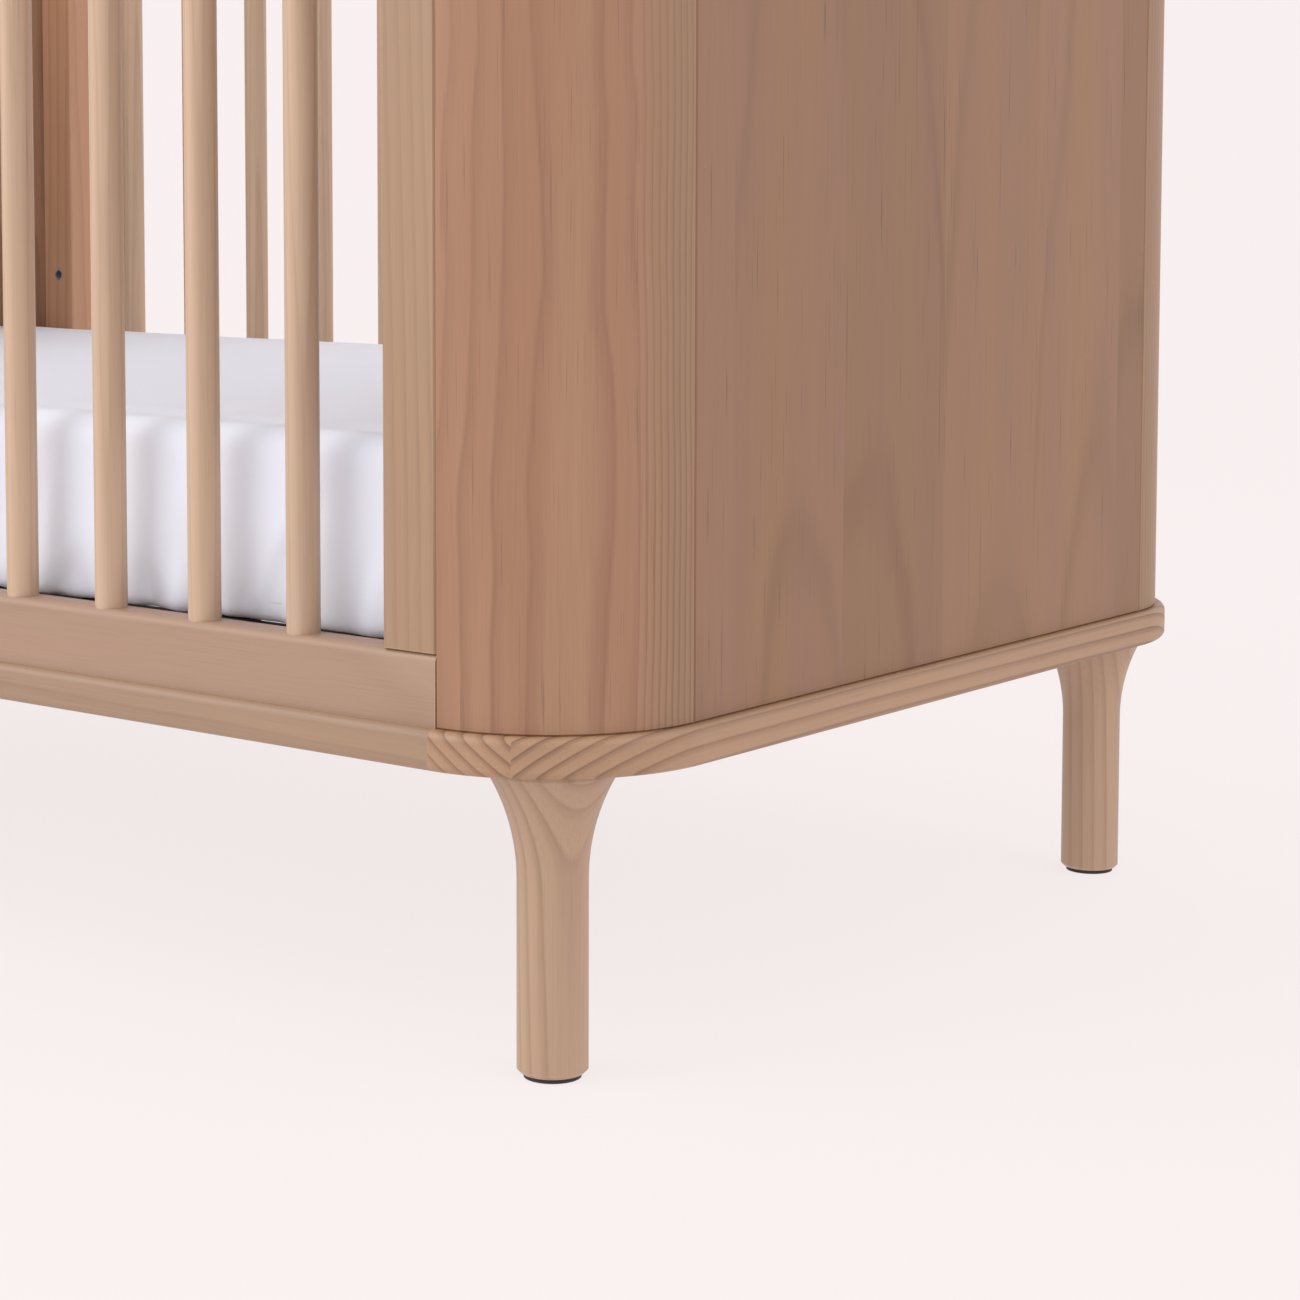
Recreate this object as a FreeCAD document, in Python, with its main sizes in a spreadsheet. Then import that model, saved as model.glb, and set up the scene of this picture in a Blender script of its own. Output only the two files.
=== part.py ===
"""Baby crib: solid end panels with quarter-round corners, spindle sides, turned legs.

Frame: X along the length, Y across the width, Z up, origin on the floor under the middle.
The front is the side that faces -Y. Millimetres.
"""

import FreeCAD, Part
import math
import os
import Sketcher

os.makedirs("parts", exist_ok=True)
doc = FreeCAD.newDocument("crib")

# ---------------------------------------------------------------- driving dimensions
SIZES = {
    "outer_length": 1354, "outer_width": 760, "total_height": 915,
    "corner_radius": 106, "panel_thick": 17, "base_z": 183, "rim_thick": 24,
    "rim_proud": 7, "rim_width": 40, "top_rim_width": 24, "edge_round": 5,
    "side_thick": 26, "rail_height": 43, "stile_width": 40, "arris": 1.2,
    "spindle_dia": 20.6, "spindle_pitch": 83, "mortise_deep": 15, "spindle_inset": 13,
    "leg_inset_x": 64, "leg_inset_y": 55, "leg_radius": 21, "flare_radius": 122,
    "flare_start": 117, "leg_band": 3, "foot_chamfer": 2, "glide_radius": 17, "glide_thick": 3,
    "bolt_radius": 4, "bolt_in_leg": 40, "tee_radius": 6, "tee_flange_radius": 11,
    "tee_flange_thick": 1.5, "mitre_angle": 27,
    "deck_z": 246, "support_length": 1240, "support_width": 680, "angle_size": 18,
    "steel_thick": 3, "strap_width": 28, "strap_thick": 2,
    "hook_width": 30, "hook_drop": 43, "peg_z": 219, "peg_head_radius": 6.4,
    "peg_head_thick": 5, "peg_clear": 0.3, "peg_gap": 0.5, "height_step": 100,
    "insert_radius": 6, "insert_deep": 18,
    "mattress_length": 1311, "mattress_width": 692, "mattress_thick": 120,
    "mattress_corner": 70, "mattress_edge": 14, "sheet_thick": 2, "hem_width": 60,
    "dowel_radius": 4, "dowel_half": 14, "screw_radius": 2.5, "screw_head_radius": 5,
    "screw_head_thick": 3, "screw_into_wood": 22,
}

sheet = doc.addObject("Spreadsheet::Sheet", "Sizes")
for row, (name, value) in enumerate(SIZES.items(), start=1):
    sheet.set(f"A{row}", name)
    sheet.set(f"B{row}", str(value))
    sheet.setAlias(f"B{row}", name)
DERIVED = {
    "half_length": "outer_length / 2",
    "half_width": "outer_width / 2",
    "arc_x": "outer_length / 2 - corner_radius",
    "arc_y": "outer_width / 2 - corner_radius",
    "floor_of_panels": "base_z + rim_thick",
    "panel_top": "total_height - rim_thick",
    "rail_top": "base_z + rim_thick + rail_height",
    "top_rail_z": "total_height - rim_thick - rail_height",
    "side_inner_y": "outer_width / 2 - side_thick",
    "spindle_y": "outer_width / 2 - spindle_inset",
    "leg_x": "outer_length / 2 - leg_inset_x",
    "leg_y": "outer_width / 2 - leg_inset_y",
    "leg_top_radius": "leg_radius + flare_radius"
                      " - sqrt(flare_radius ^ 2 - (base_z - leg_band - flare_start) ^ 2)",
    "peg_x": "outer_length / 2 - corner_radius - stile_width / 2",
    "hook_y": "support_width / 2",
    "mattress_z": "deck_z + sheet_thick",
    "support_z": "deck_z - strap_thick",
    "panel_height": "total_height - base_z - 2 * rim_thick",
}
for row, (name, formula) in enumerate(DERIVED.items(), start=len(SIZES) + 1):
    sheet.set(f"A{row}", name)
    sheet.set(f"B{row}", "=" + formula)
    sheet.setAlias(f"B{row}", name)
doc.recompute()
ON_AXIS = "0 mm"


def size(name):
    """A spreadsheet value, for the few places that need it in code."""
    return float(sheet.get(name))


def with_sheet(formula):
    """The formula with each bare size name turned into a reference to the sheet."""
    words = sorted(list(SIZES) + list(DERIVED), key=len, reverse=True)
    out, i = "", 0
    while i < len(formula):
        word = next((w for w in words if formula.startswith(w, i)), None)
        out += f"Sizes.{word}" if word else formula[i]
        i += len(word) if word else 1
    return out


def bind(obj, **formulas):
    """Ties properties to the sheet; x, y and z stand for the placement's position."""
    short = {"x": "Placement.Base.x", "y": "Placement.Base.y", "z": "Placement.Base.z"}
    for prop, formula in formulas.items():
        obj.setExpression(short.get(prop, prop), with_sheet(str(formula)))
    return obj


def turned(obj, axis, degrees):
    """Sets the object's rotation about one row axis, before its position is bound."""
    obj.Placement.Rotation = FreeCAD.Rotation(FreeCAD.Vector(*axis), degrees)
    return obj


# ---------------------------------------------------------------- primitives and booleans
def box(name, x, y, z, length, width, height):
    """A box from its lowest corner."""
    obj = doc.addObject("Part::Box", name)
    return bind(obj, Length=length, Width=width, Height=height, x=x, y=y, z=z)


def rod(name, x, y, z, radius, height, axis="z"):
    """A cylinder that starts at the point and runs along +x, +y or +z."""
    obj = doc.addObject("Part::Cylinder", name)
    if axis == "x":
        turned(obj, (0, 1, 0), 90)
    elif axis == "y":
        turned(obj, (1, 0, 0), -90)
    return bind(obj, Radius=radius, Height=height, x=x, y=y, z=z)


def joined(name, pieces):
    """Pieces that overlap or touch, made one solid."""
    obj = doc.addObject("Part::MultiFuse", name)
    obj.Shapes = pieces
    return obj


def group(name, pieces):
    """Separate identical solids that share one node."""
    obj = doc.addObject("Part::Compound", name)
    obj.Links = pieces
    return obj


def cut(name, base, tools):
    """The base less the tools."""
    tool = tools[0] if len(tools) == 1 else group(name + "_tools", tools)
    obj = doc.addObject("Part::Cut", name)
    obj.Base = base
    obj.Tool = tool
    return obj


# ---------------------------------------------------------------- sketched bodies
def plane(body, role):
    """The body's own origin plane."""
    return next(f for f in body.Origin.OriginFeatures if f.Role == role)


def rectangle_body(name, role, low, across, up):
    """A body and a sketch of a rectangle, low corner and both sides bound to the sheet."""
    body = doc.addObject("PartDesign::Body", name)
    sketch = body.newObject("Sketcher::SketchObject", name + "_outline")
    sketch.AttachmentSupport = [(plane(body, role), "")]
    sketch.MapMode = "FlatFace"
    corners = [FreeCAD.Vector(*p, 0) for p in ((10, 10), (20, 10), (20, 20), (10, 20))]
    for i in range(4):
        sketch.addGeometry(Part.LineSegment(corners[i], corners[(i + 1) % 4]), False)
    for i in range(4):
        sketch.addConstraint(Sketcher.Constraint("Coincident", i, 2, (i + 1) % 4, 1))
    for i, kind in enumerate(("Horizontal", "Vertical", "Horizontal", "Vertical")):
        sketch.addConstraint(Sketcher.Constraint(kind, i))
    origin, first = -1, 1
    sketch.addConstraint(Sketcher.Constraint("DistanceX", origin, first, 0, 1, 10.0))
    sketch.addConstraint(Sketcher.Constraint("DistanceY", origin, first, 0, 1, 10.0))
    sketch.addConstraint(Sketcher.Constraint("DistanceX", 0, 1, 0, 2, 10.0))
    sketch.addConstraint(Sketcher.Constraint("DistanceY", 1, 1, 1, 2, 10.0))
    for index, formula in zip(range(8, 12), (*low, across, up)):
        sketch.renameConstraint(index, f"side{index}")
        sketch.setExpression(f"Constraints.side{index}", with_sheet(formula))
    return body, sketch


def pad(body, sketch, length, both_ways=True):
    """A straight pad, centred on the sketch plane unless both_ways is false."""
    feature = body.newObject("PartDesign::Pad", body.Name + "_pad")
    feature.Profile = sketch
    feature.Midplane = both_ways
    return bind(feature, Length=length)


def revolve(body, sketch, degrees):
    """A turn of the sketch about the upright axis."""
    feature = body.newObject("PartDesign::Revolution", body.Name + "_turn")
    feature.Profile = sketch
    feature.ReferenceAxis = (sketch, ["V_Axis"])
    return bind(feature, Angle=degrees)


def dress(body, kind, wanted, value, prop):
    """A fillet or chamfer on the edges of the last feature that pass the test."""
    doc.recompute()
    base = body.Tip
    names = [f"Edge{i}" for i, e in enumerate(base.Shape.Edges, start=1) if wanted(e)]
    feature = body.newObject("PartDesign::" + kind, f"{body.Name}_{kind}")
    feature.Base = (base, names)
    return bind(feature, **{prop: value})


def long_edge(axis, shortest):
    """A test for straight edges along one axis, longer than shortest."""
    def test(edge):
        b = edge.BoundBox
        spans = [b.XLength, b.YLength, b.ZLength]
        return spans[axis] > shortest and sum(spans) - spans[axis] < 0.01
    return test


def strip(name, inner, across, up, length, z, facing, rounded):
    """A straight member along one side: its section starts at the distance inner from the
    crib's middle, and facing is the direction in degrees that its outer face looks."""
    body, sketch = rectangle_body("blank_" + name, "XZ_Plane", (inner, ON_AXIS), across, up)
    pad(body, sketch, length)
    dress(body, "Fillet", rounded, "edge_round", "Radius")
    turned(body, (0, 0, 1), facing)
    return bind(body, z=z)


# ---------------------------------------------------------------- sub-parts and their holes
nodes = []
drilled = {}  # sub-part name: the solids that are let into it


def node(obj, label=None):
    """Marks an object as a sub-part: its label names its file."""
    obj.Label = label or obj.Name
    nodes.append(obj)
    return obj


def wooden(name, blank):
    """A wooden sub-part: the blank less every piece that is let into it."""
    return node(cut(name, blank, drilled[name]) if name in drilled else blank, name)


def let_into(solid, *names):
    """Notes that a solid sits in a hole in each of the named sub-parts."""
    for name in names:
        drilled.setdefault(name, []).append(solid)
    return solid


# Each corner: side of X, side of Y, and the directions where its end half and side half start.
MITRE = size("mitre_angle")
CORNERS = {
    "front_right": (1, -1, 270 + MITRE, 270),
    "rear_right": (1, 1, 0, 90 - MITRE),
    "rear_left": (-1, 1, 90 + MITRE, 90),
    "front_left": (-1, -1, 180, 270 - MITRE),
}
SIDES = {"front": -1, "rear": 1}
ENDS = {"left": -1, "right": 1}


def inward(sign, start, length):
    """The low Y of something that runs from start, on one side of Y, away from the middle."""
    return f"{sign} * ({start}) - {(1 - sign) // 2} * {length}"


# ---------------------------------------------------------------- spindles
spindles_per_side = 12
for side, sy in SIDES.items():
    rods = []
    for i in range(spindles_per_side):
        x = f"{i - (spindles_per_side - 1) / 2} * spindle_pitch"
        spindle = rod(f"{side}_spindle_{i}", x, f"{sy} * spindle_y", "rail_top - mortise_deep",
                      "spindle_dia / 2", "top_rail_z - rail_top + 2 * mortise_deep")
        rods.append(let_into(spindle, f"{side}_bottom_rail", f"{side}_top_rail"))
    node(group(f"{side}_spindles", rods))

# ---------------------------------------------------------------- leg fixings and glides
bolts, tees, glides = [], [], []
for name, (sx, sy, _, _) in CORNERS.items():
    x, y = f"{sx} * leg_x", f"{sy} * leg_y"
    glides.append(rod(f"glide_{name}", x, y, 0, "glide_radius", "glide_thick"))
    bolt = rod(f"bolt_{name}", x, y, "base_z - bolt_in_leg", "bolt_radius", "bolt_in_leg + rim_thick")
    bolts.append(let_into(bolt, f"leg_{name}"))
    sleeve = rod(f"tee_sleeve_{name}", x, y, "base_z", "tee_radius", "rim_thick")
    let_into(sleeve, f"base_corner_{name}_end")
    flange = rod(f"tee_flange_{name}", x, y, "floor_of_panels", "tee_flange_radius", "tee_flange_thick")
    bore = rod(f"tee_bore_{name}", x, y, "base_z - 1", "bolt_radius", "rim_thick + 5")
    tees.append(cut(f"tee_{name}", joined(f"tee_solid_{name}", [sleeve, flange]), [bore]))
node(group("leg_glides", glides))
node(group("leg_hanger_bolts", bolts))
node(group("leg_tee_nuts", tees))

# ---------------------------------------------------------------- threaded inserts and pegs
support_heights = 3
inserts, pegs = [], []
for side, sy in SIDES.items():
    for end, sx in ENDS.items():
        tag, x = f"{side}_{end}", f"{sx} * peg_x"
        into = inward(sy, "side_inner_y", "insert_deep")
        for k in range(support_heights):
            z = f"peg_z + {k} * height_step"
            sleeve = rod(f"insert_sleeve_{tag}_{k}", x, into, z, "insert_radius", "insert_deep", "y")
            let_into(sleeve, f"{side}_{end}_stile" if k else f"{side}_bottom_rail")
            bore = rod(f"insert_bore_{tag}_{k}", x, f"{into} - 1", z, "bolt_radius",
                       "insert_deep + 2", "y")
            inserts.append(cut(f"insert_{tag}_{k}", sleeve, [bore]))
        reach = "(side_inner_y - hook_y + insert_deep + peg_gap)"
        shaft = rod(f"peg_shaft_{tag}", x, inward(sy, "hook_y - peg_gap", reach), "peg_z",
                    "bolt_radius", reach, "y")
        head = rod(f"peg_head_{tag}", x, inward(sy, "hook_y - peg_gap - peg_head_thick", "peg_head_thick"),
                   "peg_z", "peg_head_radius", "peg_head_thick", "y")
        collar_length = "(side_inner_y - hook_y - steel_thick - peg_gap)"
        collar = rod(f"peg_collar_{tag}", x, inward(sy, "hook_y + steel_thick + peg_gap", collar_length),
                     "peg_z", "peg_head_radius", collar_length, "y")
        pegs.append(joined(f"peg_{tag}", [shaft, head, collar]))
node(group("threaded_inserts", inserts))
node(group("support_pegs", pegs))

# ---------------------------------------------------------------- dowels and screws in the wood
dowels = []
DOWEL_ROWS = {"bottom_rail": "floor_of_panels + rail_height / 2",
              "top_rail": "top_rail_z + rail_height / 2",
              "stile_low": "rail_top + panel_height / 3",
              "stile_high": "rail_top + 2 * panel_height / 3"}
for side, sy in SIDES.items():
    for end, sx in ENDS.items():
        for row, z in DOWEL_ROWS.items():
            member = f"{side}_{end}_stile" if row.startswith("stile") else f"{side}_{row}"
            pin = rod(f"dowel_{side}_{end}_{row}", f"{sx} * arc_x - dowel_half",
                      f"{sy} * (half_width - panel_thick / 2)", z, "dowel_radius",
                      "2 * dowel_half", "x")
            dowels.append(let_into(pin, member, f"corner_panel_{side}_{end}"))
node(group("side_dowels", dowels))

screws, top_dowels = [], []
END_SPOTS = [(f"{sx} * (half_length - panel_thick / 2)", f"{k} * arc_y * 0.66", f"{end}_end")
             for end, sx in ENDS.items() for k in (-1, 0, 1)]
SIDE_SPOTS = [(f"{k} * spindle_pitch * 2", f"{sy} * (half_width - side_thick / 2)", side)
              for side, sy in SIDES.items() for k in (-3, -1, 1, 3)]
for i, (x, y, where) in enumerate(END_SPOTS + SIDE_SPOTS):
    is_end = where.endswith("end")
    below = f"{where}_panel" if is_end else f"{where}_bottom_rail"
    above = f"{where}_panel" if is_end else f"{where}_top_rail"
    head = rod(f"screw_head_{i}", x, y, "base_z", "screw_head_radius", "screw_head_thick")
    shank = rod(f"screw_shank_{i}", x, y, "base_z", "screw_radius", "rim_thick + screw_into_wood")
    screw = joined(f"screw_{i}", [head, shank])
    screws.append(let_into(screw, f"{where}_base_rim", below))
    pin = rod(f"top_dowel_{i}", x, y, "panel_top - dowel_half", "dowel_radius", "2 * dowel_half")
    top_dowels.append(let_into(pin, f"{where}_top_rim", above))
node(group("base_rim_screws", screws))
node(group("top_rim_dowels", top_dowels))

# ---------------------------------------------------------------- base rim and top rim


def outer_long_edge(edge):
    """Both long edges of a straight rim's outer face."""
    return long_edge(1, 400)(edge) and edge.CenterOfMass.x > size("half_width")


for level, z in (("base", "base_z"), ("top", "panel_top")):
    for side, sy in SIDES.items():
        width = "rim_width" if level == "base" else "side_thick + rim_proud"
        wooden(f"{side}_{level}_rim",
               strip(f"{side}_{level}_rim", f"half_width + rim_proud - ({width})", width, "rim_thick",
                     "2 * arc_x", z, 90 * sy, outer_long_edge))
    for end, sx in ENDS.items():
        width = "rim_width" if level == "base" else "top_rim_width"
        beyond = size("half_length")
        wooden(f"{end}_end_{level}_rim",
               strip(f"{end}_end_{level}_rim", f"half_length + rim_proud - {width}", width, "rim_thick",
                     "2 * arc_y", z, 0 if sx > 0 else 180,
                     lambda e: outer_long_edge(e) and e.CenterOfMass.x > beyond))


def corner_piece(name, corner, start, degrees, z, inner, across, up, kind, dressing, prop):
    """A piece turned about the corner's upright axis, with its outer edges eased."""
    sx, sy = CORNERS[corner][:2]
    body, sketch = rectangle_body("blank_" + name, "XZ_Plane", (inner, ON_AXIS), across, up)
    revolve(body, sketch, degrees)
    reach = size("corner_radius") - 1

    def on_outer_face(edge):
        ends = [v.Point for v in edge.Vertexes]
        level = abs(ends[0].z - ends[-1].z) < 0.01
        far = all(math.hypot(p.x, p.y) > reach for p in ends)
        return far and (level or kind == "Chamfer")
    dress(body, kind, on_outer_face, dressing, prop)
    turned(body, (0, 0, 1), start)
    return wooden(name, bind(body, x=f"{sx} * arc_x", y=f"{sy} * arc_y", z=z))


for corner, (_, _, end_start, side_start) in CORNERS.items():
    rounding = ("Fillet", "edge_round", "Radius")
    whole = min(end_start, side_start)
    corner_piece(f"base_corner_{corner}_end", corner, end_start, "90 - mitre_angle", "base_z",
                 ON_AXIS, "corner_radius + rim_proud", "rim_thick", *rounding)
    corner_piece(f"base_corner_{corner}_side", corner, side_start, "mitre_angle", "base_z",
                 ON_AXIS, "corner_radius + rim_proud", "rim_thick", *rounding)
    corner_piece(f"top_corner_{corner}", corner, whole, 90, "panel_top", "corner_radius - panel_thick",
                 "panel_thick + rim_proud", "rim_thick", *rounding)
    corner_piece(f"corner_panel_{corner}", corner, whole, 90, "floor_of_panels",
                 "corner_radius - panel_thick", "panel_thick", "panel_height", "Chamfer", "arris", "Size")

# ---------------------------------------------------------------- end panels, rails and stiles
for end, sx in ENDS.items():
    body, sketch = rectangle_body(f"blank_{end}_end_panel", "XZ_Plane",
                                  ("half_length - panel_thick", ON_AXIS),
                                  "panel_thick", "panel_height")
    pad(body, sketch, "2 * arc_y")
    dress(body, "Chamfer", lambda e: e.CenterOfMass.x > size("half_length") - 0.1, "arris", "Size")
    turned(body, (0, 0, 1), 0 if sx > 0 else 180)
    wooden(f"{end}_end_panel", bind(body, z="floor_of_panels"))

for side, sy in SIDES.items():
    for level, z in (("bottom", "floor_of_panels"), ("top", "top_rail_z")):
        free_height = size("rail_height") if level == "bottom" else 0

        def free_long_edge(edge):
            return long_edge(1, 500)(edge) and abs(edge.CenterOfMass.z - free_height) < 0.05
        wooden(f"{side}_{level}_rail",
               strip(f"{side}_{level}_rail", "side_inner_y", "side_thick", "rail_height", "2 * arc_x",
                     z, 90 * sy, free_long_edge))
    for end, sx in ENDS.items():
        body, sketch = rectangle_body(f"blank_{side}_{end}_stile", "XZ_Plane",
                                      ("side_inner_y", ON_AXIS), "side_thick",
                                      "top_rail_z - rail_top")
        pad(body, sketch, "stile_width")
        dress(body, "Chamfer", long_edge(2, 100), "arris", "Size")
        turned(body, (0, 0, 1), 90 * sy)
        wooden(f"{side}_{end}_stile",
               bind(body, x=f"{sx} * (arc_x - stile_width / 2)", z="rail_top"))


# ---------------------------------------------------------------- legs
def leg_profile(body):
    """Half outline of the turned leg: chamfered foot, straight shaft, concave flare, band."""
    radius, start = size("leg_radius"), size("flare_start")
    flare, top = size("flare_radius"), size("base_z")
    band, foot, low = size("leg_band"), size("foot_chamfer"), size("glide_thick")
    top_radius = size("leg_top_radius")
    middle = (start + top - band) / 2
    bend = FreeCAD.Vector(radius + flare - math.sqrt(flare ** 2 - (middle - start) ** 2), middle, 0)
    points = [(0, low), (radius - foot, low), (radius, low + foot), (radius, start),
              (top_radius, top - band), (top_radius, top), (0, top)]
    corners = [FreeCAD.Vector(r, z, 0) for r, z in points]
    sketch = body.newObject("Sketcher::SketchObject", body.Name + "_outline")
    sketch.AttachmentSupport = [(plane(body, "XZ_Plane"), "")]
    sketch.MapMode = "FlatFace"
    for a, b in zip(corners, corners[1:] + corners[:1]):
        is_flare = a.y == start
        sketch.addGeometry(Part.Arc(a, bend, b) if is_flare else Part.LineSegment(a, b), False)
    return sketch


for corner, (sx, sy, _, _) in CORNERS.items():
    body = doc.addObject("PartDesign::Body", f"blank_leg_{corner}")
    revolve(body, leg_profile(body), 360)
    wooden(f"leg_{corner}", bind(body, x=f"{sx} * leg_x", y=f"{sy} * leg_y"))

# ---------------------------------------------------------------- steel mattress support
hooks = []
for side, sy in SIDES.items():
    for end, sx in ENDS.items():
        tag, x = f"{side}_{end}", f"{sx} * peg_x"
        face = inward(sy, "hook_y", "steel_thick")
        plate = box(f"hook_plate_{tag}", f"{x} - hook_width / 2", face, "support_z - hook_drop",
                    "hook_width", "steel_thick", "hook_drop")
        slot_radius = "(bolt_radius + peg_clear)"
        eye = rod(f"hook_eye_{tag}", x, f"{face} - 1", "peg_z", slot_radius, "steel_thick + 2", "y")
        mouth = box(f"hook_mouth_{tag}", f"{x} - {slot_radius}", f"{face} - 1", "peg_z - hook_drop",
                    f"2 * {slot_radius}", "steel_thick + 2", "hook_drop")
        hooks.append(cut(f"hook_{tag}", plate, [joined(f"hook_slot_{tag}", [eye, mouth])]))
node(group("support_hooks", hooks))


def angle_bar(name, wall, shelf):
    """An angle section: an upright wall and a flat shelf, each (x, y, z, length, width, height)."""
    return node(joined(name, [box(name + "_wall", *wall), box(name + "_shelf", *shelf)]))


wall_z, shelf_z = "support_z - angle_size", "support_z - steel_thick"
half_support = "support_length / 2"
for side, sy in SIDES.items():
    angle_bar(f"support_{side}_rail",
              (f"-{half_support}", inward(sy, "hook_y - steel_thick", "steel_thick"), wall_z,
               "support_length", "steel_thick", "angle_size"),
              (f"-{half_support}", inward(sy, "hook_y - angle_size", "angle_size"), shelf_z,
               "support_length", "angle_size", "steel_thick"))
for end, sx in ENDS.items():
    angle_bar(f"support_{end}_end",
              (inward(sx, f"{half_support} - steel_thick", "steel_thick"), "-hook_y + steel_thick",
               wall_z, "steel_thick", "2 * (hook_y - steel_thick)", "angle_size - steel_thick"),
              (inward(sx, f"{half_support} - angle_size", "angle_size"), "-hook_y + angle_size",
               shelf_z, "angle_size", "2 * (hook_y - angle_size)", "steel_thick"))

strap_count = 11
straps, rivets = [], []
for i in range(strap_count):
    middle = f"{i / (strap_count - 1) - 0.5} * (support_length - strap_width)"
    straps.append(box(f"strap_{i}", f"{middle} - strap_width / 2", "-hook_y", "support_z",
                      "strap_width", "2 * hook_y", "strap_thick"))
    for side, sy in SIDES.items():
        rivet_y = f"{sy} * (hook_y - angle_size / 2 - steel_thick / 2)"
        rivets.append(rod(f"rivet_{i}_{side}", middle, rivet_y, f"{shelf_z} - strap_thick",
                          "screw_head_radius", "strap_thick"))
node(group("support_straps", straps))
node(group("support_rivets", rivets))
node(box("support_centre_bar", f"-{half_support} + angle_size", "-strap_width / 2", shelf_z,
         "support_length - 2 * angle_size", "strap_width", "steel_thick"))


# ---------------------------------------------------------------- mattress and fitted sheet
def rounded_slab(name, grow, z, thick, corner, edge_size):
    """A slab with round plan corners and rounded long edges, grow larger all round."""
    body, sketch = rectangle_body(name, "XY_Plane",
                                  (f"-mattress_length / 2 - {grow}", f"-mattress_width / 2 - {grow}"),
                                  f"mattress_length + 2 * {grow}", f"mattress_width + 2 * {grow}")
    pad(body, sketch, thick, both_ways=False)
    dress(body, "Fillet", long_edge(2, 50), corner, "Radius")
    dress(body, "Fillet", lambda e: e.BoundBox.ZLength < 0.01, edge_size, "Radius")
    return bind(body, z=z)


mattress = node(rounded_slab("mattress", "0", "mattress_z", "mattress_thick", "mattress_corner",
                             "mattress_edge"))
cover = rounded_slab("cover", "sheet_thick", "deck_z", "mattress_thick + 2 * sheet_thick",
                     "mattress_corner + sheet_thick", "mattress_edge + sheet_thick")
opening = box("hem_opening", "-mattress_length / 2 + hem_width", "-mattress_width / 2 + hem_width",
              "deck_z - hem_width / 2", "mattress_length - 2 * hem_width",
              "mattress_width - 2 * hem_width", "hem_width")
node(cut("fitted_sheet", cover, [mattress, opening]))

# ---------------------------------------------------------------- checks and files
doc.recompute()
for obj in doc.Objects:
    if "Invalid" in obj.State or "Error" in obj.State:
        raise RuntimeError(f"{obj.Name} did not recompute: {obj.State}")
for obj in nodes:
    shape = obj.Shape
    if shape.isNull() or not shape.isValid():
        raise RuntimeError(f"{obj.Label} has no valid shape")
    shape.exportStep(f"parts/{obj.Label}.step")
    print(f"{obj.Label}: {len(shape.Solids)} solids, {shape.Volume / 1000:.0f} cm3")
print(len(nodes), "sub-parts")
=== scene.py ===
"""Baby crib in pale lacquered pine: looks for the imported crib, around its fixed frame."""

import math
import random

import bmesh
import bpy
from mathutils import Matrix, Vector, noise


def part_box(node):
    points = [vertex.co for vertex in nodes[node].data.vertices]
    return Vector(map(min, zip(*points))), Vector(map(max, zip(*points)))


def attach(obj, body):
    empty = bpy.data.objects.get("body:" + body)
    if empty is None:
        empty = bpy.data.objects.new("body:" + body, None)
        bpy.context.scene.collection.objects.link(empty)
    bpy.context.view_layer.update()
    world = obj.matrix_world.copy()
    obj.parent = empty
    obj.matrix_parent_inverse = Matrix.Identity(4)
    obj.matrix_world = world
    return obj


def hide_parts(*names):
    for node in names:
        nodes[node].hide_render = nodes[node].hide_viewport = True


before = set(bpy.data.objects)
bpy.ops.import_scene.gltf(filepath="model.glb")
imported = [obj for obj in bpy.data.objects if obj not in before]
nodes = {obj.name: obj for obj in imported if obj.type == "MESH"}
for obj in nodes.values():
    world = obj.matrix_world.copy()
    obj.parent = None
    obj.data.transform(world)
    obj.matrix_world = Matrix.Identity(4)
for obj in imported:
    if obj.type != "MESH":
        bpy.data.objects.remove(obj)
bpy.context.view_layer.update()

# Sizes read from the frame, in metres.
corner_low, corner_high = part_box("corner_panel_front_right")
arc_x, arc_y = corner_low.x, -corner_high.y
corner_radius = corner_high.x - corner_low.x
mat_low, mat_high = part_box("mattress")
cover_low, cover_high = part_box("fitted_sheet")


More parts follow.
